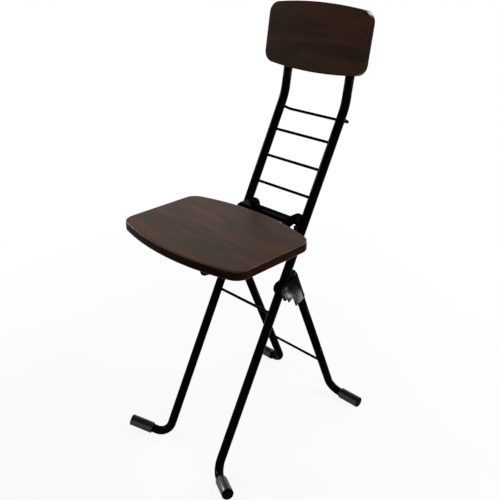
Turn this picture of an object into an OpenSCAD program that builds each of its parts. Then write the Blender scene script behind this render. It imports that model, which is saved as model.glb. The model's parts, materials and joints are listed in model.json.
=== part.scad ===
// Folding work chair: a ladder-backed tube frame, hinged rear legs, a wooden seat hooked on a rung
// and a wooden backrest. +X is the sitter's left, -Y is the front, +Z is up, z = 0 is the floor.
// Millimetres and degrees. The origin is on the floor below the middle of the chair's outline.

/* [Frame tubes] */
// Outer diameter of every frame tube
tube_d = 19.1; // [17:0.1:22]
// Wall of the frame tubes
tube_wall = 1.4; // [1:0.1:2.5]
// Distance between the axes of the left and right tubes
tube_spacing = 164.8; // [155:0.2:175]
// Lean of the long tubes from upright
main_lean = 28.2; // [26:0.1:30]
// Lean of the tubes above their upper bend
top_lean = 10.2; // [7:0.1:14]
// Height of the upper bend
top_bend_z = 717.9; // [714:0.1:730]
// Radius of the upper bend
top_bend_r = 130; // [110:1:135]
// Length of tube above the upper bend
top_len = 172; // [170:0.5:180]
// Radius of the bends above the feet
foot_bend_r = 28.5; // [26:0.5:32]

/* [Feet] */
// Reach of a front foot from its corner
front_reach = 91.5; // [86:0.5:100]
// Angle that the front feet turn forward
front_toe = 28; // [20:0.5:40]
// Angle that the front feet rise outward
front_rise = 13.4; // [10:0.1:15]
// Reach of a rear foot from its corner
rear_reach = 85.6; // [84:0.2:95]
// Outer diameter of the foot caps
cap_d = 25; // [22.5:0.1:28]
// Length of the foot caps
cap_len = 53; // [40:0.5:54]
// Thickness of a cap's closed end
cap_end = 3; // [2:0.1:6]

/* [Rungs and rods] */
// Diameter of the rungs, the crossbars and the handle
rod_d = 6; // [5:0.1:8]
// Height of the top rung
rung_top_z = 648.1; // [640:0.1:652]
// Height from one rung to the next
rung_pitch = 52.2; // [51:0.1:54]
// Height of the front crossbar
front_bar_z = 319.8; // [280:0.1:325]
// Height of the rear crossbar
rear_bar_z = 110.5; // [80:0.5:200]
// Height of the handle on the tubes
handle_z = 695.3; // [680:0.1:697]
// Distance of the handle behind the tube axes
handle_back = 32; // [28:0.5:60]
// Radius of the handle's corners
handle_bend_r = 9; // [7:0.5:14]

/* [Rear legs] */
// Lean of the rear legs from upright
leg_lean = 22.1; // [20:0.1:26]
// Height of the leg pivots
pivot_z = 370.6; // [355:0.1:380]
// Distance of a leg's axis behind its pivot
leg_offset = 38.6; // [36:0.1:45]
// Gap between a leg's top corner and the main tube it stops on
stop_gap = 0.3; // [0.2:0.05:1]
// Diameter of the pivot rivets
rivet_d = 8; // [6:0.1:10]
// Diameter of the rivet heads
rivet_head_d = 14; // [12:0.1:18]
// Height of the rivet heads
rivet_head_h = 2.6; // [2:0.1:4]
// Radial clearance of the rivets in the main tubes
rivet_clear = 0.05; // [0.02:0.01:0.1]
// Sheet thickness of the pivot brackets
bracket_t = 1.4; // [1:0.1:2]
// Gap between a pivot bracket and the tubes inside it
bracket_gap = 0.25; // [0.15:0.01:0.3]
// Radius of a pivot bracket's nose round the rivet
nose_r = 12; // [11:0.1:14]
// Length of a pivot bracket below its pivot
bracket_drop = 63.5; // [55:0.5:75]
// Length of a pivot bracket above its pivot at the leg
bracket_rise = 4.5; // [3:0.1:9]

/* [Seat] */
// Slope of the seat, its front edge up
seat_tilt = 0.8; // [0:0.1:2]
// Width of the seat
seat_w = 338.8; // [300:0.2:380]
// Depth of the seat at its middle
seat_depth = 244.8; // [220:0.2:260]
// Thickness of the seat
seat_t = 20; // [15:0.1:25]
// Sweep of the seat's front edge from its middle to its sides
seat_front_sweep = 27.2; // [15:0.1:40]
// Sweep of the seat's rear edge from its middle to its sides
seat_rear_sweep = 30.4; // [15:0.1:40]
// Corner radius of the seat
seat_corner_r = 30; // [15:0.5:45]
// Distance from the rung that holds the seat to the seat's rear edge
seat_gap = 49.5; // [46:0.1:65]
// Height of the seat's top above the axis of that rung
seat_rise = 22.6; // [20:0.1:26]

/* [Seat brackets] */
// Distance between the middles of the two seat brackets
seat_bracket_spacing = 127; // [110:0.2:136]
// Sheet thickness of the seat brackets and the bridge
seat_bracket_t = 2.5; // [1.5:0.1:3.5]
// Radius of a hook's round end
hook_r = 22; // [18:0.1:22.4]
// Clearance of a hook round its rung
hook_clear = 0.05; // [0.02:0.01:0.1]
// Reach of the seat brackets in front of the rung
arm_reach = 264; // [240:1:275]
// Depth of a seat bracket at its front end, under the seat
arm_front_h = 29; // [20:0.5:35]
// Radius of a seat bracket's lower front corner
arm_front_r = 12; // [8:0.5:14]
// Gap between a seat bracket's claw and the lower rung
claw_gap = 0.3; // [0.2:0.05:1]
// Width of the flange that the seat is screwed to
flange_w = 18; // [16:0.5:24]
// Front edge of the bridge, in front of the rung
bridge_front = 38.1; // [34:0.1:42]
// Rear edge of the bridge, in front of the rung
bridge_rear = 17.6; // [10:0.1:22]
// Depth of the bridge's turned-down lip
bridge_lip = 10; // [4:0.1:12]

/* [Backrest] */
// Width of the backrest
back_w = 258; // [220:0.2:300]
// Height of the backrest at its middle
back_h = 135.8; // [120:0.2:150]
// Thickness of the backrest
back_t = 20; // [15:0.1:24]
// Sweep of the backrest's top and bottom edges
back_sweep = 9.2; // [4:0.1:16]
// Corner radius of the backrest
back_corner_r = 24; // [15:0.5:32]
// Distance of the backrest's middle below the ends of the tubes
back_drop = 48.7; // [47:0.1:60]
// Gap between the backrest and the tubes it is screwed to
back_gap = 0.3; // [0.1:0.05:1]
// Rounding of both boards' edges
board_round = 3; // [1:0.1:5]

/* [Fasteners and plugs] */
// Diameter of the backrest screws
back_screw_d = 5; // [4:0.1:6]
// Distance between a tube's two backrest screws
back_screw_pitch = 60; // [50:0.5:62]
// Diameter of the seat screws
seat_screw_d = 4.5; // [3.5:0.1:6]
// Depth that each screw reaches into its board
screw_bite = 13; // [8:0.1:14]
// Height of the screw heads
screw_head_h = 3; // [2:0.1:4]
// Thickness of a tube plug's head
plug_head_h = 3; // [2:0.1:5]
// Depth of a tube plug inside its tube
plug_len = 12; // [8:0.1:13]

/* [Hidden] */
$fn = 72;

black_paint = [0.05, 0.05, 0.055];
cap_grey = [0.2, 0.2, 0.21];
seat_brown = [0.26, 0.2, 0.17];
back_brown = [0.2, 0.12, 0.09];
steel_grey = [0.35, 0.35, 0.36];

tube_r = tube_d / 2;
bore_r = tube_r - tube_wall;
rod_r = rod_d / 2;
cap_r = cap_d / 2;
half = tube_spacing / 2;
cap_round = 1.2;
cap_chamfer = 1;
through = 1;
far = 400;

// Bends are this much fuller than the straight stretches, and reach this far over their ends
swell = 0.05;
lap = 0.4;

// Directions: +1 is the sitter's left side, which is +X
main_up = [0, sin(main_lean), cos(main_lean)];
main_back = [0, cos(main_lean), -sin(main_lean)];
top_up = [0, sin(top_lean), cos(top_lean)];
top_front = [0, -cos(top_lean), sin(top_lean)];
leg_up = [0, -sin(leg_lean), cos(leg_lean)];
leg_back = [0, cos(leg_lean), sin(leg_lean)];
front_foot_dir = [cos(front_toe) * cos(front_rise), -sin(front_toe) * cos(front_rise), sin(front_rise)];

// The front feet stand on the undersides of their bends, or on the rims of their caps if those are lower
front_turn = turn(-main_up, front_foot_dir);
front_slope = [front_foot_dir[2], side_of(front_foot_dir, main_up)[2]];
bend_stand_z = tube_r + swell + foot_bend_r
    * (norm(front_slope) - tan(front_turn / 2) * front_slope[0] - front_slope[1]);
rim_stand_z = (cap_r - cap_chamfer) * cos(front_rise) + cap_chamfer
    - (front_reach - cap_len + cap_chamfer) * sin(front_rise);
front_corner_z = max(bend_stand_z, rim_stand_z);
fold_angle = main_lean + leg_lean;
leg_top = ((leg_offset - tube_r) * cos(fold_angle) - tube_r - stop_gap) / sin(fold_angle);

// Depths before the origin is set, measured from the point where the main axis meets the floor
rear_corner_y = pivot_z * tan(main_lean) + leg_offset / cos(leg_lean) + (pivot_z - cap_r) * tan(leg_lean);
front_edge_y = front_corner_z * tan(main_lean) + (front_reach - cap_round) * front_foot_dir[1]
    - (cap_r - cap_round) * sqrt(1 - pow(front_foot_dir[1], 2)) - cap_round;
back_mid = top_len - back_drop;
head_dome_r = screw_head_h + 0.4 * back_screw_d;
screw_edge_y = top_bend_z * tan(main_lean) + (back_mid + back_screw_pitch / 2) * sin(top_lean)
    + (tube_r + screw_head_h - head_dome_r) * cos(top_lean) + head_dome_r;
rear_edge_y = max(rear_corner_y + cap_r, screw_edge_y);
base_y = -(rear_edge_y + front_edge_y) / 2;

function main_at(z) = [0, base_y + z * tan(main_lean), z];
top_bend = main_at(top_bend_z);
pivot = main_at(pivot_z);
leg_mid = pivot + leg_offset * leg_back;
leg_corner = leg_mid - (leg_mid[2] - cap_r) / cos(leg_lean) * leg_up;
leg_end = leg_mid + (leg_top - plug_head_h) * leg_up;
post_end = top_bend + top_len * top_up;
front_corner = main_at(front_corner_z);
back_mid_point = top_bend + back_mid * top_up;

hook_rung = main_at(rung_top_z - 3 * rung_pitch);
claw_rung = main_at(rung_top_z - 4 * rung_pitch);
seat_under = seat_rise - seat_t;
seat_front = [0, -cos(seat_tilt), sin(seat_tilt)];
seat_up = [0, sin(seat_tilt), cos(seat_tilt)];

function unit(v) = v / norm(v);
function turn(a, b) = acos(a * b);
function side_of(a, b) = unit(b - (a * b) * a);
function upright(p, x) = [x, p[1], p[2]];

// Puts a shape's Z axis along z_dir and its X axis along x_dir, with its origin at a point
module place(origin, z_dir, x_dir) {
    y_dir = cross(z_dir, x_dir);
    multmatrix([
        [x_dir[0], y_dir[0], z_dir[0], origin[0]],
        [x_dir[1], y_dir[1], z_dir[1], origin[1]],
        [x_dir[2], y_dir[2], z_dir[2], origin[2]],
        [0, 0, 0, 1]
    ]) children();
}

// A bend that starts along +Z and turns towards +X about the origin
module elbow(bend, angle, r) {
    over = lap / bend * 180 / PI;
    rotate([-90, 0, 0]) rotate(180 - over)
        rotate_extrude(angle = angle + 2 * over)
            translate([bend, 0])
                circle(r = r + swell);
}

// Straight stretches and bends laid end to end from the origin along +Z
module run(lengths, bends, angles, rolls, r, i = 0) {
    cylinder(r = r, h = lengths[i]);
    if (i < len(bends)) translate([0, 0, lengths[i]]) rotate(rolls[i]) translate([bends[i], 0, 0]) {
        elbow(bends[i], angles[i], r);
        rotate([0, angles[i], 0]) translate([-bends[i], 0, 0]) run(lengths, bends, angles, rolls, r, i + 1);
    }
}

// How far a path's next bend is turned from the plane of its last one
function roll_of(last, dir, next) =
    let (across = unit(cross(last, dir)), inward = side_of(dir, next))
    atan2(inward * across, inward * cross(across, dir));

// A round bar through points, its corners bent to the radii, longer by spare at both ends
module bent_bar(points, bends, r, spare = 0) {
    n = len(bends);
    dirs = [for (i = [0:n]) unit(points[i + 1] - points[i])];
    angles = [for (i = [0:n - 1]) turn(dirs[i], dirs[i + 1])];
    trims = [-spare, for (i = [0:n - 1]) bends[i] * tan(angles[i] / 2), -spare];
    lengths = [for (i = [0:n]) norm(points[i + 1] - points[i]) - trims[i] - trims[i + 1]];
    rolls = [0, for (i = [1:1:n - 1]) roll_of(dirs[i - 1], dirs[i], dirs[i + 1])];
    place(points[0] - spare * dirs[0], dirs[0], side_of(dirs[0], dirs[1])) run(lengths, bends, angles, rolls, r);
}

module bent_tube(points, bends) {
    difference() {
        bent_bar(points, bends, tube_r);
        bent_bar(points, bends, bore_r, through);
    }
}

// A cylinder along X through a point
module cross_bar(p, r, width) {
    place([-width / 2, p[1], p[2]], [1, 0, 0], [0, 1, 0]) cylinder(r = r, h = width);
}

// Both sides, or one: side is 1 for left and -1 for right
module on_side(side) {
    if (side > 0) children();
    else mirror([1, 0, 0]) children();
}

// Main frame

module main_tube(side) {
    foot_end = upright(front_corner, half) + (front_reach - cap_end) * front_foot_dir;
    color(black_paint) on_side(side) difference() {
        bent_tube(
            [foot_end, upright(front_corner, half), upright(top_bend, half), upright(post_end, half)],
            [foot_bend_r, top_bend_r]
        );
        cross_bar(pivot, rivet_d / 2 + rivet_clear, far);
        for (s = [-1, 1]) back_screw_place(half, s)
            cylinder(d = back_screw_d + 2 * rivet_clear, h = 3 * tube_d, center = true);
    }
}

// A rod between the two tubes, its ends shaped to the tubes
module rung_at(p, tube_dir) {
    color(black_paint) difference() {
        cross_bar(p, rod_r, tube_spacing);
        for (x = [-half, half]) place(upright(p, x) - far / 2 * tube_dir, tube_dir, [1, 0, 0])
            cylinder(r = tube_r, h = far);
    }
}

module rung(i) {
    rung_at(main_at(rung_top_z - (i - 1) * rung_pitch), main_up);
}

module front_crossbar() {
    rung_at(main_at(front_bar_z), main_up);
}

module handle_rod() {
    root = main_at(handle_z);
    cross = root + handle_back * main_back;
    color(black_paint) difference() {
        bent_bar(
            [upright(root, -half), upright(cross, -half), upright(cross, half), upright(root, half)],
            [handle_bend_r, handle_bend_r],
            rod_r
        );
        for (x = [-half, half]) place(upright(root, x) - far / 4 * main_up, main_up, [1, 0, 0])
            cylinder(r = tube_r, h = far / 2);
    }
}

// A closed rubber cap along +Z, its open end at 0
module cap_shape() {
    difference() {
        rotate_extrude() {
            difference() {
                union() {
                    square([cap_r - cap_round, cap_len]);
                    translate([0, cap_chamfer]) square([cap_r, cap_len - cap_round - cap_chamfer]);
                    square([cap_r - cap_chamfer, cap_chamfer]);
                    translate([cap_r - cap_chamfer, cap_chamfer]) circle(r = cap_chamfer);
                    translate([cap_r - cap_round, cap_len - cap_round]) circle(r = cap_round);
                }
            }
        }
        translate([0, 0, -through]) cylinder(r = tube_r, h = cap_len - cap_end + through);
    }
}

module front_foot_cap(side) {
    start = upright(front_corner, half) + (front_reach - cap_len) * front_foot_dir;
    color(cap_grey) on_side(side)
        place(start, front_foot_dir, side_of(front_foot_dir, [0, 1, 0])) cap_shape();
}

// A plug along +Z: its head above 0, its body below
module plug_shape() {
    rotate_extrude() {
        square([tube_r - 1, plug_head_h]);
        square([tube_r, plug_head_h - 1]);
        translate([tube_r - 1, plug_head_h - 1]) circle(r = 1);
        translate([0, -plug_len]) square([bore_r, plug_len]);
    }
}

module post_plugs() {
    color(cap_grey) for (x = [-half, half])
        place(upright(post_end, x), top_up, [1, 0, 0]) plug_shape();
}

// Boards

// The outline of a board: straight sides, arched ends, tangent round corners
module board_outline(w, depth, low_sweep, high_sweep, corner_r) {
    board_end(w, depth, low_sweep, corner_r);
    translate([0, depth]) mirror([0, 1]) board_end(w, depth, high_sweep, corner_r);
}

// Half of the outline: the end at y = 0 and the sides up to half the depth
module board_end(w, depth, sweep, corner_r) {
    arch_r = (w * w / 4 + sweep * sweep) / (2 * sweep);
    corner_x = w / 2 - corner_r;
    corner_y = arch_r - sqrt(pow(arch_r - corner_r, 2) - corner_x * corner_x);
    touch_x = corner_x * arch_r / (arch_r - corner_r);
    intersection() {
        translate([0, arch_r]) circle(r = arch_r, $fn = 360);
        translate([-touch_x, 0]) square([2 * touch_x, depth / 2]);
    }
    translate([-w / 2, corner_y]) square([w, depth / 2 - corner_y]);
    for (x = [-corner_x, corner_x]) translate([x, corner_y]) circle(r = corner_r);
}

// A board with softly rounded edges, from z = -t to z = 0
module board(w, depth, t, low_sweep, high_sweep, corner_r) {
    inset = board_round * (1 - cos(45));
    levels = [[board_round, 0], [inset, inset], [0, board_round]];
    hull() for (level = levels) translate([0, level[0], -t + level[1]])
        linear_extrude(t - 2 * level[1])
            board_outline(
                w - 2 * level[0], depth - 2 * level[0],
                low_sweep, high_sweep, corner_r - level[0], $fn = 72
            );
}

// A pan-headed screw along +Z: the head's seat at 0, the shank above it
module screw_shape(d, length) {
    cylinder(d = d, h = length);
    rotate_extrude() intersection() {
        translate([0, d * 0.4]) circle(r = screw_head_h + d * 0.4);
        translate([0, -screw_head_h]) square([d, screw_head_h]);
    }
}

// The frame of one backrest screw: Z forward, origin on the tube's rear side
module back_screw_place(x, s) {
    p = upright(back_mid_point + s * back_screw_pitch / 2 * top_up - tube_r * top_front, x);
    place(p, top_front, [1, 0, 0]) children();
}

module backrest_board() {
    back_face = back_mid_point + (tube_r + back_gap) * top_front;
    color(back_brown) difference() {
        place(back_face + back_t * top_front - back_h / 2 * top_up, top_front, [1, 0, 0])
            board(back_w, back_h, back_t, back_sweep, back_sweep, back_corner_r);
        for (x = [-half, half], s = [-1, 1]) back_screw_place(x, s)
            cylinder(d = back_screw_d, h = tube_d + back_gap + screw_bite);
    }
}

module backrest_screws() {
    color(steel_grey) for (x = [-half, half], s = [-1, 1]) back_screw_place(x, s)
        screw_shape(back_screw_d, tube_d + back_gap + screw_bite);
}

// Rear legs

module rear_leg(side) {
    foot_end = upright(leg_corner, half + rear_reach - cap_end);
    color(black_paint) on_side(side)
        bent_tube([foot_end, upright(leg_corner, half), upright(leg_end, half)], [foot_bend_r]);
}

module rear_crossbar() {
    rung_at(leg_mid - (leg_mid[2] - rear_bar_z) / cos(leg_lean) * leg_up, leg_up);
}

module rear_foot_cap(side) {
    start = upright(leg_corner, half + rear_reach - cap_len);
    color(cap_grey) on_side(side) place(start, [1, 0, 0], [0, 1, 0]) cap_shape();
}

module leg_plugs() {
    color(cap_grey) for (x = [-half, half])
        place(upright(leg_end, x), leg_up, [1, 0, 0]) plug_shape();
}

// A pivot bracket's side, X towards the leg and Y up along it, the pivot at the origin
module bracket_side() {
    front = 13;
    back = leg_offset + tube_r + bracket_gap + bracket_t;
    shoulder = 38;
    knee_r = 7;
    knee_y = -19;
    tab = 5;
    circle(r = nose_r);
    polygon([
        [0, nose_r], [-nose_r, 0], [-nose_r, knee_y], [-nose_r + knee_r, knee_y - knee_r],
        [front, -shoulder], [front, -bracket_drop], [back, -bracket_drop], [back, bracket_rise]
    ]);
    translate([-nose_r + knee_r, knee_y]) circle(r = knee_r);
    translate([1, -31]) rotate(-33) translate([0, -tab]) square([tab, 2 * tab]);
}

// A pivot bracket's section seen along the leg, filled in: cheeks joined round the back of the leg
module bracket_section(r, reach) {
    translate([leg_offset, 0]) circle(r = r);
    translate([-reach, -r]) square([leg_offset + reach, 2 * r]);
}

module pivot_bracket(side) {
    inner_r = tube_r + bracket_gap;
    outer_r = inner_r + bracket_t;
    color(black_paint) on_side(side) difference() {
        intersection() {
            place(upright(pivot, half - outer_r), [1, 0, 0], leg_back)
                linear_extrude(2 * outer_r) bracket_side();
            place(upright(pivot, half) - far / 2 * leg_up, leg_up, leg_back)
                linear_extrude(far) difference() {
                    bracket_section(outer_r, 2 * nose_r);
                    bracket_section(inner_r, 2 * nose_r + through);
                }
        }
        cross_bar(pivot, rivet_d / 2, far);
    }
}

module pivot_rivets() {
    grip = tube_r + bracket_gap + bracket_t;
    dome_r = (rivet_head_d * rivet_head_d / 4 + rivet_head_h * rivet_head_h) / (2 * rivet_head_h);
    color(black_paint) for (side = [-1, 1]) place(upright(pivot, side * half - grip), [1, 0, 0], [0, 1, 0]) {
        cylinder(d = rivet_d, h = 2 * grip);
        for (end = [0, 1]) translate([0, 0, end * 2 * grip]) mirror([0, 0, 1 - end])
            rotate_extrude() intersection() {
                translate([0, rivet_head_h - dome_r]) circle(r = dome_r);
                square([rivet_head_d, rivet_head_h]);
            }
    }
}

// Seat unit, drawn from the rung that holds it: X to the sitter's left, -Y forward, Z square to the seat

module seat_unit() {
    place(hook_rung, seat_up, [1, 0, 0]) children();
}

// The claw's rung, forward and up in the seat unit
claw = [(claw_rung - hook_rung) * seat_front, (claw_rung - hook_rung) * seat_up];
slot_r = rod_r + hook_clear;
mouth_dip = -12;
mouth_front = [18.5, -0.7];
jaw_reach = 6.5;
jaw_low = -13.3;
tip_reach = seat_gap - 4;

// The side of a seat bracket, X forward and Y up: hook over one rung, arm under the seat, claw on the
// rung below
module seat_bracket_side() {
    claw_back = claw[0] + rod_r + claw_gap;
    arm_low = seat_under - arm_front_h;
    difference() {
        union() {
            circle(r = hook_r);
            polygon([
                [0, hook_r], [tip_reach - 8, hook_r], [tip_reach, hook_r - 2], [tip_reach, seat_under],
                [arm_reach, seat_under], [arm_reach, arm_low + arm_front_r],
                [arm_reach - arm_front_r, arm_low], [claw_back + 14, claw[1] - 14],
                [claw_back + 2, claw[1] - 14], [claw_back, claw[1] - 9],
                [claw_back, claw[1] + 9], mouth_front, [0, 0]
            ]);
            translate([arm_reach - arm_front_r, arm_low + arm_front_r]) circle(r = arm_front_r);
        }
        circle(r = slot_r);
        polygon([
            slot_r * [-sin(mouth_dip), cos(mouth_dip)], mouth_front,
            [claw_back, claw[1] + 9], [claw_back - 12, claw[1] + 9],
            [jaw_reach, jaw_low], [jaw_reach, jaw_reach * tan(mouth_dip) - slot_r / cos(mouth_dip)],
            slot_r * [sin(mouth_dip), -cos(mouth_dip)]
        ]);
    }
}

function seat_screw_spots() = [for (f = [0.12, 0.5, 0.88]) seat_gap + 22 + f * (arm_reach - seat_gap - 44)];
flange_mid = (seat_bracket_spacing - seat_bracket_t - flange_w) / 2;

module seat_bracket(side) {
    inner_x = (seat_bracket_spacing - seat_bracket_t) / 2;
    flange_front = arm_reach - arm_front_r;
    flange_rear = seat_gap + 10;
    color(black_paint) seat_unit() on_side(side) {
        place([inner_x, 0, 0], [1, 0, 0], [0, -1, 0]) mirror([0, 1])
            linear_extrude(seat_bracket_t) seat_bracket_side();
        difference() {
            translate([inner_x - flange_w, -flange_front, seat_under - seat_bracket_t])
                cube([flange_w, flange_front - flange_rear, seat_bracket_t]);
            for (reach = seat_screw_spots()) seat_screw_place(1, reach)
                cylinder(d = seat_screw_d + 2 * hook_clear, h = 4 * seat_bracket_t, center = true);
        }
    }
}

// The frame of one seat screw in the seat unit: Z up, origin on the flange's underside
module seat_screw_place(side, reach) {
    translate([side * flange_mid, -reach, seat_under - seat_bracket_t]) children();
}

module seat_screws() {
    color(steel_grey) seat_unit() for (side = [-1, 1], reach = seat_screw_spots()) seat_screw_place(side, reach)
        screw_shape(seat_screw_d, seat_bracket_t + screw_bite);
}

module seat_bridge() {
    width = seat_bracket_spacing - seat_bracket_t;
    depth = bridge_front - bridge_rear;
    color(black_paint) seat_unit() translate([-width / 2, -bridge_front, hook_r - seat_bracket_t]) {
        cube([width, depth, seat_bracket_t]);
        translate([0, 0, seat_bracket_t - bridge_lip]) cube([width, seat_bracket_t, bridge_lip]);
    }
}

module seat_board() {
    color(seat_brown) seat_unit() difference() {
        translate([0, -seat_gap - seat_depth, seat_rise])
            board(seat_w, seat_depth, seat_t, seat_front_sweep, seat_rear_sweep, seat_corner_r);
        for (side = [-1, 1], reach = seat_screw_spots()) seat_screw_place(side, reach)
            cylinder(d = seat_screw_d, h = seat_bracket_t + screw_bite);
    }
}

main_tube(1);  // left_main_tube
main_tube(-1);  // right_main_tube
rung(1);  // rung_1
rung(2);  // rung_2
rung(3);  // rung_3
rung(4);  // rung_4
rung(5);  // rung_5
front_crossbar();
handle_rod();
backrest_board();
backrest_screws();
post_plugs();
front_foot_cap(1);  // front_left_foot_cap
front_foot_cap(-1);  // front_right_foot_cap
rear_leg(1);  // left_rear_leg
rear_leg(-1);  // right_rear_leg
rear_crossbar();
pivot_bracket(1);  // left_pivot_bracket
pivot_bracket(-1);  // right_pivot_bracket
pivot_rivets();
leg_plugs();
rear_foot_cap(1);  // rear_left_foot_cap
rear_foot_cap(-1);  // rear_right_foot_cap
seat_board();
seat_bracket(1);  // left_seat_bracket
seat_bracket(-1);  // right_seat_bracket
seat_bridge();
seat_screws();
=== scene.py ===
import json
import math

import bpy
import numpy as np
from mathutils import Matrix, Vector


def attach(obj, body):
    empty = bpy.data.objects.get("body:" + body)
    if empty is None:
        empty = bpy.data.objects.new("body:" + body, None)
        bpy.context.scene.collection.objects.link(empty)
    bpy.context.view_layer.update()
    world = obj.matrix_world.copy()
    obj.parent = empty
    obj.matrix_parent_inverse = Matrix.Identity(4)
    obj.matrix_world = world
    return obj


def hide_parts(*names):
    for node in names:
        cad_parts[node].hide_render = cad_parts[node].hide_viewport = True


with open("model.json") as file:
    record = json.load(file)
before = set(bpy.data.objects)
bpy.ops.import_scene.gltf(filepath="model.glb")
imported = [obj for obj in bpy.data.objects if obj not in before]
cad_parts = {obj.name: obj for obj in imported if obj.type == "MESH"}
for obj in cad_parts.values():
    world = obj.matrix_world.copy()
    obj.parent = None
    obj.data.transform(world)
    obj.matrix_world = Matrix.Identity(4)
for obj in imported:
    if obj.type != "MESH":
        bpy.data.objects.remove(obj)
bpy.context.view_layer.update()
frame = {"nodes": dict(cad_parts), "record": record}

# Sizes in metres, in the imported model's frame: +X the sitter's left, -Y the front, z = 0 the floor

TUBE_R = 0.00955
ROD_R = 0.003
FOOT_BEND = 0.0285
TOP_BEND_R = 0.130
MAIN_LEAN = math.radians(28.2)
TOP_LEAN = math.radians(10.2)
LEG_LEAN = math.radians(22.1)
SEAT_TILT = math.radians(0.8)
TOE = math.radians(28)
RISE = math.radians(13.4)

# The main tubes: their axes lie HALF from the middle and meet the floor at BASE_Y. The feet's axes
# cross them at FRONT_CORNER_Z, and the feet's caps end FRONT_REACH away.
BASE_Y = -0.187062
HALF = 0.0824
FRONT_CORNER_Z = 0.00392249
FRONT_REACH = 0.0915
TOP_BEND_Z = 0.7179
POST_LEN = 0.172

# The rods between the main tubes: the seat hangs on the rung at HOOK_Z. The handle starts inside the
# tubes' rear sides and runs across HANDLE_BACK behind their axes.
RUNG_TOP_Z = 0.6481
RUNG_PITCH = 0.0522
FRONT_BAR_Z = 0.3198
HOOK_Z = 0.4915
HANDLE_Z = 0.6953
HANDLE_START = 0.0085
HANDLE_BACK = 0.032
HANDLE_BEND = 0.009

# The rear legs, their axes LEG_OFFSET behind the rivets
PIVOT_Z = 0.3706
LEG_OFFSET = 0.0386
REAR_BAR_Z = 0.1105
REAR_REACH = 0.0856

# The foot caps
CAP_R = 0.0125
CAP_LEN = 0.053
CAP_END = 0.003
CAP_ROUND = 0.0012
CAP_CHAMFER = 0.001

# The boards: the seat's top lies SEAT_RISE above the hook's rung, and its rear edge SEAT_GAP in front.
# The backrest's middle is BACK_MID_UP above the upper bend. A sweep is the depth of an edge's arch.
BOARD_T = 0.020
BOARD_ROUND = 0.003
SEAT_W = 0.3388
SEAT_DEPTH = 0.2448
SEAT_FRONT_SWEEP = 0.0272
SEAT_REAR_SWEEP = 0.0304
SEAT_CORNER_R = 0.030
SEAT_GAP = 0.0495
SEAT_RISE = 0.0226
BACK_W = 0.258
BACK_H = 0.1358
BACK_SWEEP = 0.0092
BACK_CORNER_R = 0.024
BACK_MID_UP = 0.1233
BACK_GAP = 0.0003

# The screws, and the seat brackets' flanges that hold six of them
HEAD_H = 0.003
SCREW_BITE = 0.013
BACK_SCREW_D = 0.005
BACK_SCREW_PITCH = 0.060
SEAT_SCREW_D = 0.0045
SEAT_BRACKET_SPACING = 0.127
SEAT_BRACKET_T = 0.0025
FLANGE_W = 0.018
ARM_REACH = 0.264
SCREW_MARGIN = 0.022


def vec(*v):
    return np.array(v, dtype=float)


def unit(v):
    return v / np.linalg.norm(v)


LEFTWARD = vec(1, 0, 0)
MAIN_UP = vec(0, math.sin(MAIN_LEAN), math.cos(MAIN_LEAN))
MAIN_BACK = vec(0, math.cos(MAIN_LEAN), -math.sin(MAIN_LEAN))
TOP_UP = vec(0, math.sin(TOP_LEAN), math.cos(TOP_LEAN))
TOP_FRONT = vec(0, -math.cos(TOP_LEAN), math.sin(TOP_LEAN))
LEG_UP = vec(0, -math.sin(LEG_LEAN), math.cos(LEG_LEAN))
LEG_BACK = vec(0, math.cos(LEG_LEAN), math.sin(LEG_LEAN))
FOOT_DIR = vec(math.cos(TOE) * math.cos(RISE), -math.sin(TOE) * math.cos(RISE), math.sin(RISE))
SEAT_BACK = vec(0, math.cos(SEAT_TILT), -math.sin(SEAT_TILT))
SEAT_UP = vec(0, math.sin(SEAT_TILT), math.cos(SEAT_TILT))


def main_at(z, x=0.0):
    """A point at a height on the main tubes' axes, moved to x."""
    return vec(x, BASE_Y + z * math.tan(MAIN_LEAN), z)


def at_x(p, x):
    return vec(x, p[1], p[2])


TOP_BEND = main_at(TOP_BEND_Z)
POST_END = TOP_BEND + POST_LEN * TOP_UP
FRONT_CORNER = main_at(FRONT_CORNER_Z)
BACK_MID = TOP_BEND + BACK_MID_UP * TOP_UP
HOOK = main_at(HOOK_Z)
HANDLE_ROOT = main_at(HANDLE_Z)
RUNG_ZS = [RUNG_TOP_Z - k * RUNG_PITCH for k in range(5)]
LEG_MID = main_at(PIVOT_Z) + LEG_OFFSET * LEG_BACK


def leg_at(z):
    """A point at a height on the rear legs' axes."""
    return LEG_MID - (LEG_MID[2] - z) / math.cos(LEG_LEAN) * LEG_UP


LEG_CORNER = leg_at(CAP_R)
REAR_BAR = leg_at(REAR_BAR_Z)
# The upper end of a leg's tube, where its plug begins
LEG_END = vec(0, 0.0442876, 0.392827)

# Camera: the photograph's place, framing and slight roll

PHOTO_PX = 500
FOCAL_PX = 677.02
SHIFT_PX = (-0.83, -1.66)
SENSOR_MM = 36.0
CAM_PLACE = (0.9052, BASE_Y - 0.70608, 1.06995)
CAM_RIGHT = Vector((0.70822, 0.70593, -0.00986))
CAM_UP = Vector((-0.30738, 0.32088, 0.89585))

cam_data = bpy.data.cameras.new("photo_camera")
cam = bpy.data.objects.new("photo_camera", cam_data)
bpy.context.scene.collection.objects.link(cam)
cam_data.sensor_width = SENSOR_MM
cam_data.sensor_fit = "HORIZONTAL"
cam_data.lens = FOCAL_PX / PHOTO_PX * SENSOR_MM
cam_data.shift_x = SHIFT_PX[0] / PHOTO_PX
cam_data.shift_y = SHIFT_PX[1] / PHOTO_PX
cam_data.clip_start = 0.05
cam_data.clip_end = 60
cam.location = CAM_PLACE
cam.rotation_mode = "QUATERNION"
turned = Matrix((CAM_RIGHT, CAM_UP, CAM_RIGHT.cross(CAM_UP))).transposed()
cam.rotation_quaternion = turned.to_quaternion()
bpy.context.scene.camera = cam
bpy.context.scene.view_settings.view_transform = "Standard"

# Node helpers


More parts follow.
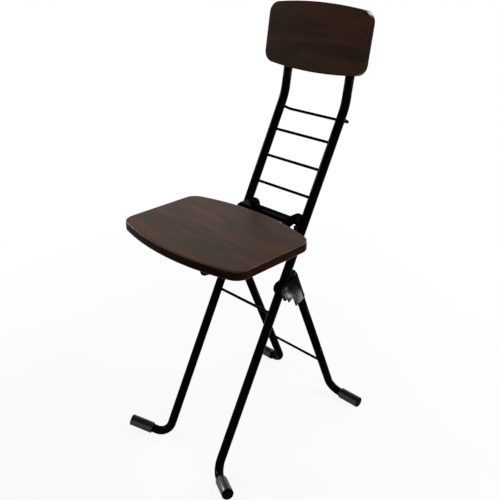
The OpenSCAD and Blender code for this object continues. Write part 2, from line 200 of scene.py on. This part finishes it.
class Nodes:
    """A node tree with short helpers, most of which return their node's output."""

    def __init__(self, tree):
        self.t = tree

    def node(self, kind, **props):
        n = self.t.nodes.new(kind)
        for k, v in props.items():
            setattr(n, k, v)
        return n

    def link(self, a, b):
        self.t.links.new(a, b)

    def put(self, socket, value):
        if hasattr(value, "is_output"):
            self.link(value, socket)
        else:
            socket.default_value = value

    def mapped(self, vector, scale, offset=(0, 0, 0)):
        n = self.node("ShaderNodeMapping")
        n.inputs["Scale"].default_value = scale
        n.inputs["Location"].default_value = offset
        self.link(vector, n.inputs["Vector"])
        return n.outputs["Vector"]

    def noise(self, vector, scale, detail=4.0, rough=0.5, distortion=0.0):
        n = self.node("ShaderNodeTexNoise")
        n.inputs["Scale"].default_value = scale
        n.inputs["Detail"].default_value = detail
        n.inputs["Roughness"].default_value = rough
        n.inputs["Distortion"].default_value = distortion
        self.link(vector, n.inputs["Vector"])
        return n.outputs["Fac"]

    def ramp(self, fac, stops):
        n = self.node("ShaderNodeValToRGB")
        elements = n.color_ramp.elements
        while len(elements) < len(stops):
            elements.new(0.5)
        for element, (position, colour) in zip(elements, stops):
            element.position = position
            element.color = (*colour, 1.0)
        self.link(fac, n.inputs["Fac"])
        return n.outputs["Color"]

    def mix_colour(self, fac, a, b):
        n = self.node("ShaderNodeMix", data_type="RGBA")
        self.put(n.inputs[0], fac)
        for socket, v in ((n.inputs[6], a), (n.inputs[7], b)):
            self.put(socket, v if hasattr(v, "is_output") else (*v, 1.0))
        return n.outputs[2]

    def mix_value(self, fac, a, b):
        n = self.node("ShaderNodeMix", data_type="FLOAT")
        for socket, v in ((n.inputs[0], fac), (n.inputs[2], a), (n.inputs[3], b)):
            self.put(socket, v)
        return n.outputs[0]

    def math(self, op, a, b):
        n = self.node("ShaderNodeMath", operation=op)
        self.put(n.inputs[0], a)
        self.put(n.inputs[1], b)
        return n.outputs[0]

    def weighted(self, a, weight_a, b, weight_b):
        return self.math("ADD", self.math("MULTIPLY", a, weight_a), self.math("MULTIPLY", b, weight_b))

    def remap(self, value, source, target, **props):
        """Maps a value from a source range to a target range, clamped at both ends."""
        n = self.node("ShaderNodeMapRange", **props)
        for key, limit in zip(("From Min", "From Max", "To Min", "To Max"), (*source, *target)):
            n.inputs[key].default_value = limit
        self.put(n.inputs["Value"], value)
        return n.outputs["Result"]

    def bump(self, height, strength, distance, normal=None):
        n = self.node("ShaderNodeBump")
        n.inputs["Strength"].default_value = strength
        n.inputs["Distance"].default_value = distance
        self.link(height, n.inputs["Height"])
        if normal is not None:
            self.link(normal, n.inputs["Normal"])
        return n.outputs["Normal"]

    def soft_edges(self, radius):
        n = self.node("ShaderNodeBevel", samples=4)
        n.inputs["Radius"].default_value = radius
        return n.outputs["Normal"]


class Mat(Nodes):
    """A material's node tree, around its main shader."""

    def __init__(self, name):
        self.m = bpy.data.materials.new(name)
        self.m.use_nodes = True
        super().__init__(self.m.node_tree)
        self.bsdf = self.t.nodes["Principled BSDF"]

    def coords(self, scale=(1, 1, 1)):
        n = self.node("ShaderNodeTexCoord")
        return self.mapped(n.outputs["Object"], scale)

    def set(self, **values):
        for k, v in values.items():
            self.put(self.bsdf.inputs[k.replace("_", " ")], v)

    def finish(self, specular):
        self.bsdf.inputs["Specular IOR Level"].default_value = specular
        return self.m


# Materials


def paint(name, specular):
    """Deep black enamel on steel: fine orange peel, dust-dull patches."""
    m = Mat(name)
    c = m.coords()
    patches = m.noise(c, scale=14.0, detail=3.0, rough=0.55)
    peel = m.noise(c, scale=700.0, detail=2.0, rough=0.5)
    fine = m.noise(c, scale=260.0, detail=4.0, rough=0.6)
    dull = m.weighted(patches, 0.7, fine, 0.3)
    m.set(
        Base_Color=m.mix_colour(patches, (0.0005, 0.0005, 0.0006), (0.0012, 0.0012, 0.0013)),
        Roughness=m.remap(dull, (0.3, 0.7), (0.07, 0.12)),
        Normal=m.bump(peel, 0.012, 0.0004, m.soft_edges(0.0004)),
    )
    return m.finish(specular)


def rubber(name, low, high, rough, specular):
    """Moulded rubber between two greys: fine grain and faint draw marks along the cap."""
    m = Mat(name)
    c = m.coords()
    grain = m.noise(c, scale=1500.0, detail=3.0, rough=0.6)
    marks = m.noise(m.coords((40, 300, 300)), scale=1.0, detail=4.0, rough=0.6)
    cloud = m.noise(c, scale=45.0, detail=3.0, rough=0.5)
    marked = m.remap(marks, (0.35, 0.7), (0.0, 1.0))
    m.set(
        Base_Color=m.mix_colour(marked, (low, low, low), (high, high, 1.02 * high)),
        Roughness=m.remap(cloud, (0.3, 0.7), (rough - 0.03, rough + 0.04)),
        Normal=m.bump(grain, 0.15, 0.0004, m.soft_edges(0.0004)),
    )
    return m.finish(specular)


def plastic(name, specular):
    """Black plastic plugs with a faint grain."""
    m = Mat(name)
    c = m.coords()
    tint = m.noise(c, scale=60.0)
    m.set(
        Base_Color=m.mix_colour(tint, (0.0040, 0.0040, 0.0042), (0.0070, 0.0070, 0.0072)),
        Roughness=m.remap(m.noise(c, scale=30.0), (0.3, 0.7), (0.38, 0.5)),
        Normal=m.bump(m.noise(c, scale=1500.0), 0.15, 0.0003, m.soft_edges(0.0005)),
    )
    return m.finish(specular)


def dark_steel(name, specular):
    """Black-oxide screws and rivets, finely spotted."""
    m = Mat(name)
    spots = m.noise(m.coords(), scale=500.0, detail=4.0, rough=0.6)
    m.set(
        Base_Color=m.mix_colour(spots, (0.006, 0.006, 0.0065), (0.020, 0.020, 0.021)),
        Metallic=0.5,
        Roughness=m.remap(spots, (0.3, 0.7), (0.30, 0.48)),
        Normal=m.bump(spots, 0.1, 0.0003, m.soft_edges(0.0003)),
    )
    return m.finish(specular)


def walnut(name, tones, seed, rough, specular, relief=0.14):
    """Stained walnut with its grain along X: broad streaks, fine fibres, short pores, satin lacquer."""
    dark, mid, pale, red = tones
    m = Mat(name)
    place = m.node("ShaderNodeTexCoord").outputs["Object"]
    warp = m.noise(m.mapped(place, (3.0, 9.0, 9.0), (seed, 2 * seed, 0)), scale=1.0, detail=2.0, rough=0.5)
    shift = m.node("ShaderNodeVectorMath", operation="SCALE")
    shift.inputs["Scale"].default_value = 0.06
    m.link(warp, shift.inputs[0])
    bent = m.node("ShaderNodeVectorMath", operation="ADD")
    m.link(place, bent.inputs[0])
    m.link(shift.outputs["Vector"], bent.inputs[1])

    def grain(along, across, offset, detail, rough, distortion=0.0):
        stretched = m.mapped(bent.outputs["Vector"], (along, across, across), offset)
        return m.noise(stretched, 1.0, detail, rough, distortion)

    broad = grain(4.0, 28.0, (seed, seed, 1.0), detail=4.0, rough=0.55, distortion=0.4)
    bands = grain(3.5, 95.0, (2.0 + seed, 5.0, seed), detail=4.0, rough=0.6, distortion=0.3)
    warm = grain(5.0, 34.0, (9.0, 3.0 + seed, 4.0), detail=4.0, rough=0.55, distortion=0.6)
    fibres = grain(16.0, 700.0, (0.0, seed, 0.0), detail=3.0, rough=0.6)
    pores = grain(70.0, 1500.0, (seed, 0.0, 2.0), detail=1.0, rough=0.5)

    streaks = m.weighted(broad, 0.5, bands, 0.5)
    colour = m.ramp(streaks, [(0.40, dark), (0.5, mid), (0.60, pale)])
    colour = m.mix_colour(m.remap(warm, (0.45, 0.62), (0.0, 1.0)), colour, red)
    colour = m.mix_colour(m.remap(fibres, (0.3, 0.7), (0.0, 0.25)), colour, dark)
    hole = m.remap(pores, (0.62, 0.72), (0.0, 0.5))
    colour = m.mix_colour(hole, colour, tuple(0.4 * k for k in dark))
    height = m.math("SUBTRACT", m.math("MULTIPLY", fibres, 0.4), hole)
    satin = m.weighted(fibres, 0.5, broad, 0.5)
    m.set(
        Base_Color=colour,
        Roughness=m.remap(satin, (0.35, 0.65), (rough - 0.04, rough + 0.06)),
        Normal=m.bump(height, relief, 0.0003),
    )
    return m.finish(specular)


# The woods' tones: dark, middle, pale, red
SEAT_TONES = (
    (0.0340, 0.0178, 0.0112),
    (0.0500, 0.0228, 0.0130),
    (0.0620, 0.0280, 0.0156),
    (0.1020, 0.0360, 0.0140),
)
SEAT_EDGE_TONES = (
    (0.0120, 0.0045, 0.0026),
    (0.0165, 0.0062, 0.0034),
    (0.0210, 0.0080, 0.0042),
    (0.0250, 0.0085, 0.0042),
)
BACK_TONES = (
    (0.0205, 0.0098, 0.0060),
    (0.0280, 0.0123, 0.0070),
    (0.0365, 0.0156, 0.0086),
    (0.0520, 0.0190, 0.0092),
)
BACK_EDGE_TONES = (
    (0.0060, 0.0022, 0.0013),
    (0.0100, 0.0036, 0.0020),
    (0.0140, 0.0050, 0.0026),
    (0.0170, 0.0056, 0.0028),
)

seat_wood = walnut("seat_wood", SEAT_TONES, seed=6.4, rough=0.38, specular=0.16)
back_wood = walnut("back_wood", BACK_TONES, seed=5.5, rough=0.40, specular=0.05)
edge_wood = walnut("edge_wood", SEAT_EDGE_TONES, seed=5.3, rough=0.35, specular=0.008)
back_edge_wood = walnut("back_edge_wood", BACK_EDGE_TONES, seed=5.3, rough=0.16, specular=0.030)
seat_rim_wood = walnut("seat_rim_wood", SEAT_TONES, seed=6.4, rough=0.42, specular=0.22, relief=0.03)
black = paint("black_paint", specular=0.014)
bracket_black = paint("bracket_paint", specular=0.012)
cap_rubber = rubber("grey_rubber", low=0.0070, high=0.0125, rough=0.26, specular=0.55)
plug_plastic = plastic("black_plastic", specular=0.25)
steel = dark_steel("dark_steel", specular=0.3)
# Painted shade: the caps' closed ends get a near-black rubber that stands in for the shade on them
cap_end_painted_shade = rubber("cap_end_painted_shade", low=0.0012, high=0.0020, rough=0.60, specular=0.03)

# The CAD nodes take their record's materials, and the brackets a duller paint
MATS = {
    "black_paint": black,
    "grey_rubber": cap_rubber,
    "black_plastic": plug_plastic,
    "dark_steel": steel,
    "seat_wood": seat_wood,
    "back_wood": back_wood,
}
slots = {s["node"]: s["material_slot"] for s in frame["record"]["subparts"]}
for name, obj in frame["nodes"].items():
    for slot in obj.material_slots:
        slot.material = bracket_black if "bracket" in name else MATS[slots[name]]

# Mesh helpers


def new_object(name, mesh_data, mats, body, replaces=(), face_mats=None):
    """A smooth-shaded mesh that rides on a body, and stands for the named nodes where some are given."""
    verts, faces = mesh_data
    mesh = bpy.data.meshes.new(name)
    mesh.from_pydata([tuple(float(c) for c in v) for v in verts], [], [tuple(f) for f in faces])
    mesh.validate()
    for m in mats:
        mesh.materials.append(m)
    if face_mats is not None:
        for poly, k in zip(mesh.polygons, face_mats):
            poly.material_index = k
    for poly in mesh.polygons:
        poly.use_smooth = True
    mesh.update()
    obj = bpy.data.objects.new(name, mesh)
    bpy.context.scene.collection.objects.link(obj)
    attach(obj, body)
    if replaces:
        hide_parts(*replaces)


def bent_path(points, bends, step=math.radians(3)):
    """Points and directions along straight stretches joined by round bends."""
    dirs = [unit(points[i + 1] - points[i]) for i in range(len(points) - 1)]
    out = [(points[0], dirs[0])]
    for i, bend in enumerate(bends):
        a, b = dirs[i], dirs[i + 1]
        angle = math.acos(max(-1.0, min(1.0, float(a @ b))))
        inward = unit(b - (a @ b) * a)
        start = points[i + 1] - bend * math.tan(angle / 2) * a
        centre = start + bend * inward
        count = max(2, int(math.ceil(angle / step)))
        for k in range(count + 1):
            t = angle * k / count
            place = centre + bend * (math.sin(t) * a - math.cos(t) * inward)
            out.append((place, math.cos(t) * a + math.sin(t) * inward))
    out.append((points[-1], dirs[-1]))
    return out


# Any fixed direction that no tube, rod or cap is parallel to
SEAM = vec(0.3, 0.2, 1.0)


def sweep(path, radius, sides=40, close=False, ripple=None):
    """A round skin along a path of points and directions, its rings carried without twist."""
    side = unit(np.cross(path[0][1], SEAM))
    verts, faces = [], []
    for k, (p, d) in enumerate(path):
        side = unit(side - (side @ d) * d)
        up = np.cross(d, side)
        r = radius if ripple is None else radius * ripple[k]
        for j in range(sides):
            t = 2 * math.pi * j / sides
            verts.append(p + r * (math.cos(t) * side + math.sin(t) * up))
    rings = len(path)
    for k in range(rings if close else rings - 1):
        a, b = k * sides, ((k + 1) % rings) * sides
        for j in range(sides):
            n = (j + 1) % sides
            faces.append((a + j, a + n, b + n, b + j))
    if not close:
        faces.append(tuple(range(sides - 1, -1, -1)))
        faces.append(tuple((rings - 1) * sides + j for j in range(sides)))
    return verts, faces


def joined(parts):
    """Several meshes as one."""
    verts, faces = [], []
    for v, f in parts:
        base = len(verts)
        verts += list(v)
        faces += [tuple(base + k for k in face) for face in f]
    return verts, faces


# Tubes and the handle: one smooth skin each over the solids' separate stretches

for side, label in ((1, "left"), (-1, "right")):
    flip = vec(side, 1, 1)
    corner = at_x(FRONT_CORNER, HALF)
    foot_end = corner + (FRONT_REACH - CAP_END) * FOOT_DIR
    points = [foot_end, corner, at_x(TOP_BEND, HALF), at_x(POST_END, HALF)]
    skin = sweep(bent_path([p * flip for p in points], [FOOT_BEND, TOP_BEND_R]), TUBE_R)
    new_object(f"{label}_main_tube_skin", skin, [black], "frame", [f"{label}_main_tube"])
    foot_end = at_x(LEG_CORNER, HALF + REAR_REACH - CAP_END)
    points = [foot_end, at_x(LEG_CORNER, HALF), at_x(LEG_END, HALF)]
    skin = sweep(bent_path([p * flip for p in points], [FOOT_BEND]), TUBE_R)
    new_object(f"{label}_rear_leg_skin", skin, [black], "rear_legs", [f"{label}_rear_leg"])

start = HANDLE_ROOT + HANDLE_START * MAIN_BACK
cross = HANDLE_ROOT + HANDLE_BACK * MAIN_BACK
points = [at_x(start, -HALF), at_x(cross, -HALF), at_x(cross, HALF), at_x(start, HALF)]
skin = sweep(bent_path(points, [HANDLE_BEND, HANDLE_BEND], step=math.radians(6)), ROD_R, sides=28)
new_object("handle_rod_skin", skin, [black], "frame", ["handle_rod"])

# Welds: each bead's middle line runs BEAD_OUT outside the rod and BEAD_LIFT above the tube

BEAD_R = 0.00085
BEAD_OUT = 0.00035
BEAD_LIFT = 0.0002
BEAD_RIPPLE = 0.12
BEAD_POINTS = 40


def weld_bead(tube_point, rod_dir, tube_dir, seed):
    """A painted weld bead where a rod meets a tube, with the slight ripple of its stitches."""
    across = unit(np.cross(rod_dir, tube_dir))
    path = []
    for k in range(BEAD_POINTS):
        t = 2 * math.pi * k / BEAD_POINTS
        u = (ROD_R + BEAD_OUT) * math.cos(t)
        w = (ROD_R + BEAD_OUT) * math.sin(t)
        depth = math.sqrt((TUBE_R + BEAD_LIFT) ** 2 - w * w)
        path.append(tube_point + u * tube_dir + w * across - depth * rod_dir)
    ring = [(path[k], unit(path[(k + 1) % BEAD_POINTS] - path[k - 1])) for k in range(BEAD_POINTS)]
    ripple = 1 + BEAD_RIPPLE * np.random.default_rng(seed).random(BEAD_POINTS)
    return sweep(ring, BEAD_R, sides=8, close=True, ripple=ripple)


beads = []
for i, z in enumerate([*RUNG_ZS, FRONT_BAR_Z]):
    beads += [weld_bead(main_at(z, s * HALF), s * LEFTWARD, MAIN_UP, 10 * i + s + 1) for s in (1, -1)]
beads += [weld_bead(at_x(HANDLE_ROOT, s * HALF), -MAIN_BACK, MAIN_UP, 90 + s) for s in (1, -1)]
new_object("frame_welds", joined(beads), [black], "frame")
beads = [weld_bead(at_x(REAR_BAR, s * HALF), s * LEFTWARD, LEG_UP, 70 + s) for s in (1, -1)]
new_object("leg_welds", joined(beads), [black], "rear_legs")

# Boards: a skin's strips are counted from its nearer face. The rim begins at RIM_START, and the edge
# band at RIM_END.

ARC_STEPS = 26
CORNER_STEPS = 14
ROUND_STEPS = 7
RIM_FLAT = 0.0014
RIM_START = 2
RIM_END = 7


def end_curve(w, arch_depth, corner):
    """From the middle of a board's arched end round its corner to the side, for x >= 0."""
    arch = (w * w / 4 + arch_depth**2) / (2 * arch_depth)
    cx = w / 2 - corner
    cy = arch - math.sqrt((arch - corner) ** 2 - cx * cx)
    turn = math.asin(cx / (arch - corner))
    pts = []
    for k in range(ARC_STEPS + 1):
        t = turn * k / ARC_STEPS
        pts.append((arch * math.sin(t), arch - arch * math.cos(t)))
    for k in range(1, CORNER_STEPS + 1):
        t = turn + (math.pi / 2 - turn) * k / CORNER_STEPS
        pts.append((cx + corner * math.sin(t), cy - corner * math.cos(t)))
    return pts


def board_ring(w, depth, low, high, corner, inset):
    """A board's outline, drawn in by the inset, from y = 0 at its low end."""
    w = w - 2 * inset
    depth = depth - 2 * inset
    a = end_curve(w, low, corner - inset)
    b = end_curve(w, high, corner - inset)
    pts = [(x, y + inset) for x, y in a]
    pts += [(x, depth - y + inset) for x, y in reversed(b)]
    pts += [(-x, depth - y + inset) for x, y in b[1:]]
    pts += [(-x, y + inset) for x, y in reversed(a[1:])]
    return pts


def board_skin(w, depth, low, high, corner, place):
    """A board with rounded edges. place maps (x, y, z) to the frame, and z = 0 is its show face.
    Returns the mesh and each face's material: 0 on the faces, 1 on the edge band, 2 on the rims."""
    edge = BOARD_ROUND
    turns = [math.pi / 2 * k / ROUND_STEPS for k in range(ROUND_STEPS + 1)]
    levels = [(edge + RIM_FLAT, 0.0)]
    levels += [(edge * (1 - math.sin(a)), -edge * (1 - math.cos(a))) for a in turns]
    levels += [(edge * (1 - math.cos(a)), -BOARD_T + edge * (1 - math.sin(a))) for a in turns]
    levels += [(edge + RIM_FLAT, -BOARD_T)]
    verts = []
    for inset, z in levels:
        verts += [place(x, y, z) for x, y in board_ring(w, depth, low, high, corner, inset)]
    n = len(verts) // len(levels)
    last = len(levels) - 1
    faces = [tuple(range(n)), tuple(last * n + j for j in range(n - 1, -1, -1))]
    mats = [0, 0]
    for k in range(last):
        strip = min(k, last - 1 - k)
        mats += [0 if strip < RIM_START else 2 if strip < RIM_END else 1] * n
        for j in range(n):
            m = (j + 1) % n
            faces.append((k * n + j, (k + 1) * n + j, (k + 1) * n + m, k * n + m))
    return (verts, faces), mats


def seat_place(x, y, z):
    return HOOK + vec(x, 0, 0) + (y - SEAT_GAP - SEAT_DEPTH) * SEAT_BACK + (z + SEAT_RISE) * SEAT_UP


def back_place(x, y, z):
    front_face = BACK_MID + (TUBE_R + BACK_GAP + BOARD_T) * TOP_FRONT
    return front_face + vec(x, 0, 0) + (y - BACK_H / 2) * TOP_UP + z * TOP_FRONT


skin, face_mats = board_skin(
    SEAT_W, SEAT_DEPTH, SEAT_FRONT_SWEEP, SEAT_REAR_SWEEP, SEAT_CORNER_R, seat_place
)
woods = [seat_wood, edge_wood, seat_rim_wood]
new_object("seat_board_skin", skin, woods, "seat", ["seat_board"], face_mats)
skin, face_mats = board_skin(BACK_W, BACK_H, BACK_SWEEP, BACK_SWEEP, BACK_CORNER_R, back_place)
woods = [back_wood, back_edge_wood, back_wood]
new_object("backrest_board_skin", skin, woods, "frame", ["backrest_board"], face_mats)

# Foot caps: their closed ends, the last CAP_END_STRIPS of the profile, are painted blacker than their
# sides, as painted shade on the end faces

CAP_SIDES = 64
CAP_END_STRIPS = 5


def quarter(r, z, size, start, steps=6):
    """Points of a quarter round about (r, z), from an angle in degrees upwards."""
    turns = [math.radians(start + 90 * k / steps) for k in range(steps + 1)]
    return [(r + size * math.cos(t), z + size * math.sin(t)) for t in turns]


def revolve(profile, origin, z_dir, sides):
    """Turns (radius, height) points about z_dir. A radius of 0 becomes one point."""
    x_dir = unit(np.cross(z_dir, SEAM))
    y_dir = np.cross(z_dir, x_dir)
    verts, faces, rings = [], [], []
    for r, z in profile:
        start = len(verts)
        count = sides if r > 0 else 1
        for j in range(count):
            t = 2 * math.pi * j / sides
            verts.append(origin + z * z_dir + r * (math.cos(t) * x_dir + math.sin(t) * y_dir))
        rings.append((start, count))
    for (a, na), (b, nb) in zip(rings[:-1], rings[1:]):
        for j in range(sides):
            n = (j + 1) % sides
            quad = [a + j % na, a + n % na, b + n % nb, b + j % nb]
            faces.append(tuple(dict.fromkeys(quad)))
    return verts, faces


def foot_cap(label, body, corner, reach, z_dir):
    """A cap whose closed end lies a reach away from a foot's corner."""
    profile = [(0, CAP_LEN - CAP_END), (TUBE_R, CAP_LEN - CAP_END), (TUBE_R, 0)]
    profile += quarter(CAP_R - CAP_CHAMFER, CAP_CHAMFER, CAP_CHAMFER, -90)
    profile += quarter(CAP_R - CAP_ROUND, CAP_LEN - CAP_ROUND, CAP_ROUND, 0)
    profile += [(0, CAP_LEN)]
    mesh = revolve(profile, corner + (reach - CAP_LEN) * z_dir, z_dir, CAP_SIDES)
    strips = len(profile) - 1
    # The end strips take the near-black rubber, which is painted shade
    ends = [int(k >= strips - CAP_END_STRIPS) for k in range(strips) for _ in range(CAP_SIDES)]
    rubbers = [cap_rubber, cap_end_painted_shade]
    new_object(f"{label}_cap_skin", mesh, rubbers, body, [f"{label}_foot_cap"], ends)


for side, label in ((1, "left"), (-1, "right")):
    corner = at_x(FRONT_CORNER, side * HALF)
    foot_cap(f"front_{label}", "frame", corner, FRONT_REACH, FOOT_DIR * vec(side, 1, 1))
    corner = at_x(LEG_CORNER, side * HALF)
    foot_cap(f"rear_{label}", "rear_legs", corner, REAR_REACH, side * LEFTWARD)

# Screws with cross recesses. The recess's arm and width are parts of the head's radius.

SCREW_SIDES = 48
HEAD_RINGS = 22
RECESS = 0.0016
RECESS_ARM = 0.52
RECESS_WIDTH = 0.13


def cross_depth(x, y, arm, width):
    """How deep the cross recess is at a point of a screw head, from 0 to 1. Its floor slopes up over
    the last quarter of each arm and towards its walls."""
    depth = 0.0
    for a, b in ((x, y), (y, x)):
        along = max(0.0, 1.0 - max(0.0, abs(a) / arm - 0.75) / 0.25)
        beside = max(0.0, min(1.0, (width - abs(b)) / (0.35 * width)))
        depth = max(depth, along * beside)
    return depth


def screw(d, length, origin, z_dir):
    """A pan-headed screw: the head's seat at the origin, the shank along z_dir, the recess in the head."""
    y_dir = np.cross(z_dir, LEFTWARD)
    sunk = 0.4 * d
    dome = HEAD_H + sunk
    head_r = math.sqrt(dome * dome - sunk**2)
    points = []
    for z in (length, 0.0):
        points += [(d / 2, k, z) for k in range(SCREW_SIDES)]
    for r in (head_r * ring / HEAD_RINGS for ring in range(HEAD_RINGS, 0, -1)):
        points += [(r, k, None) for k in range(SCREW_SIDES)]
    verts = [origin + length * z_dir]
    for r, k, z in points:
        t = 2 * math.pi * k / SCREW_SIDES
        x, y = r * math.cos(t), r * math.sin(t)
        if z is None:
            cut = cross_depth(x, y, RECESS_ARM * head_r, RECESS_WIDTH * head_r)
            z = min(0.0, -(math.sqrt(dome * dome - r * r) - sunk) + RECESS * cut)
        verts.append(origin + x * LEFTWARD + y * y_dir + z * z_dir)
    verts.append(origin - (HEAD_H - RECESS) * z_dir)
    rings = len(points) // SCREW_SIDES
    steps = [(j, (j + 1) % SCREW_SIDES) for j in range(SCREW_SIDES)]
    faces = [(0, 1 + j, 1 + n) for j, n in steps]
    for ring in range(rings - 1):
        a = 1 + ring * SCREW_SIDES
        b = a + SCREW_SIDES
        faces += [(a + j, b + j, b + n, a + n) for j, n in steps]
    a = 1 + (rings - 1) * SCREW_SIDES
    faces += [(a + j, len(verts) - 1, a + n) for j, n in steps]
    return verts, faces


screws = []
for x in (-HALF, HALF):
    for s in (-1, 1):
        head_seat = at_x(BACK_MID + s * BACK_SCREW_PITCH / 2 * TOP_UP - TUBE_R * TOP_FRONT, x)
        screws.append(screw(BACK_SCREW_D, 2 * TUBE_R + BACK_GAP + SCREW_BITE, head_seat, TOP_FRONT))
new_object("backrest_screws_skin", joined(screws), [steel], "frame", ["backrest_screws"])

FLANGE_MID = (SEAT_BRACKET_SPACING - SEAT_BRACKET_T - FLANGE_W) / 2
FLANGE_UNDER = SEAT_RISE - BOARD_T - SEAT_BRACKET_T
screws = []
for s in (-1, 1):
    for f in (0.12, 0.5, 0.88):
        reach = SEAT_GAP + SCREW_MARGIN + f * (ARM_REACH - SEAT_GAP - 2 * SCREW_MARGIN)
        head_seat = HOOK + s * FLANGE_MID * LEFTWARD - reach * SEAT_BACK + FLANGE_UNDER * SEAT_UP
        screws.append(screw(SEAT_SCREW_D, SEAT_BRACKET_T + SCREW_BITE, head_seat, SEAT_UP))
new_object("seat_screws_skin", joined(screws), [steel], "seat", ["seat_screws"])

# Floor: lit white near the chair, where it keeps the shadow, and plain white beyond

bpy.ops.mesh.primitive_plane_add(size=40)
floor = bpy.context.active_object
floor.name = "floor"
pale = Mat("floor_pale")
ground = pale.coords()
cloud = pale.noise(ground, scale=0.6)
pale.set(
    Base_Color=pale.mix_colour(cloud, (0.90, 0.90, 0.90), (0.93, 0.93, 0.93)),
    Roughness=0.9,
)
pale.finish(specular=0.0)
rays = pale.node("ShaderNodeLightPath")
mirrored = pale.math("MAXIMUM", rays.outputs["Is Glossy Ray"], rays.outputs["Is Transmission Ray"])
distance = pale.node("ShaderNodeVectorMath", operation="LENGTH")
pale.link(ground, distance.inputs[0])
plain_seen = pale.remap(distance.outputs["Value"], (0.55, 1.3), (0.9, 1.0))
plain_mirrored = pale.remap(distance.outputs["Value"], (0.40, 1.3), (0.0, 1.0))
seen = pale.math("MULTIPLY", rays.outputs["Is Camera Ray"], plain_seen)
mirrored = pale.math("MULTIPLY", mirrored, plain_mirrored)
white = pale.node("ShaderNodeEmission")
white.inputs["Strength"].default_value = 1.0
blend = pale.node("ShaderNodeMixShader")
pale.link(pale.math("MAXIMUM", seen, mirrored), blend.inputs[0])
pale.link(pale.bsdf.outputs[0], blend.inputs[1])
pale.link(white.outputs[0], blend.inputs[2])
pale.link(blend.outputs[0], pale.t.nodes["Material Output"].inputs["Surface"])
floor.data.materials.append(pale.m)

# World: a white sweep up to a low height under a dim ceiling. The camera sees white everywhere.

SWEEP_HEIGHTS = (0.20, 0.68)
SWEEP_LEVELS = (1.0, 0.10)
LIGHT_SHARE = 0.6

world = bpy.data.worlds.new("studio")
bpy.context.scene.world = world
world.use_nodes = True
sky = Nodes(world.node_tree)
backdrop = sky.t.nodes["Background"]
backdrop.inputs["Color"].default_value = (1.0, 1.0, 1.0, 1.0)
height = sky.node("ShaderNodeSeparateXYZ")
sky.link(sky.node("ShaderNodeTexCoord").outputs["Generated"], height.inputs[0])
level = sky.remap(height.outputs[2], SWEEP_HEIGHTS, SWEEP_LEVELS, interpolation_type="SMOOTHSTEP")
rays = sky.node("ShaderNodeLightPath")
mirrored = sky.math("MAXIMUM", rays.outputs["Is Glossy Ray"], rays.outputs["Is Transmission Ray"])
strength = sky.mix_value(mirrored, sky.math("MULTIPLY", level, LIGHT_SHARE), level)
strength = sky.mix_value(rays.outputs["Is Camera Ray"], strength, 1.0)
sky.link(strength, backdrop.inputs["Strength"])

# Lamps: the large ones light the chair, and each kicker gives one highlight of the photograph


def softbox(name, place, target, watts, width, height=None, beam=180, glossy=True):
    """A rectangular lamp in metres and degrees that the camera doesn't see."""
    data = bpy.data.lights.new(name, "AREA")
    data.energy = watts
    data.shape = "RECTANGLE"
    data.size = width
    data.size_y = height or width
    data.spread = math.radians(beam)
    lamp = bpy.data.objects.new(name, data)
    bpy.context.scene.collection.objects.link(lamp)
    lamp.location = place
    lamp.rotation_mode = "QUATERNION"
    lamp.rotation_quaternion = (Vector(target) - Vector(place)).to_track_quat("-Z", "Y")
    lamp.visible_camera = False
    lamp.visible_glossy = glossy


softbox("overhead", (-0.2, 0.2, 2.9), (0, 0, 0.3), watts=14, width=1.6, glossy=False)
softbox("back_right", (1.45, 1.25, 2.6), (0.1, 0.2, 0.8), watts=20, width=0.45)
softbox("left", (-1.96, -0.35, 0.98), (0, 0, 0.2), watts=11, width=0.3)
softbox("back", (0.17, 1.77, 0.42), (0, 0, 0.1), watts=9, width=0.3)
softbox("right", (1.52, 0.99, 0.78), (0, 0, 0.1), watts=8, width=0.3)
softbox(
    "bracket_kicker", (0.388, 0.414, 0.06), (0.0936, 0.062, 0.335),
    watts=0.0135, width=0.013, height=0.040, beam=60,
)
softbox(
    "nose_kicker", (0.423, 0.397, 0.06), (0.0936, 0.024, 0.356),
    watts=0.0072, width=0.012, beam=60,
)
softbox(
    "corner_kicker", (0.09, 0.67, 1.09), (0.125, 0.22, 0.895),
    watts=0.10, width=0.30, height=0.14, beam=40,
)
softbox(
    "foot_kicker", (-0.22, -0.285, 0.15), (0.094, -0.197, 0.018),
    watts=0.05, width=0.035, beam=60,
)
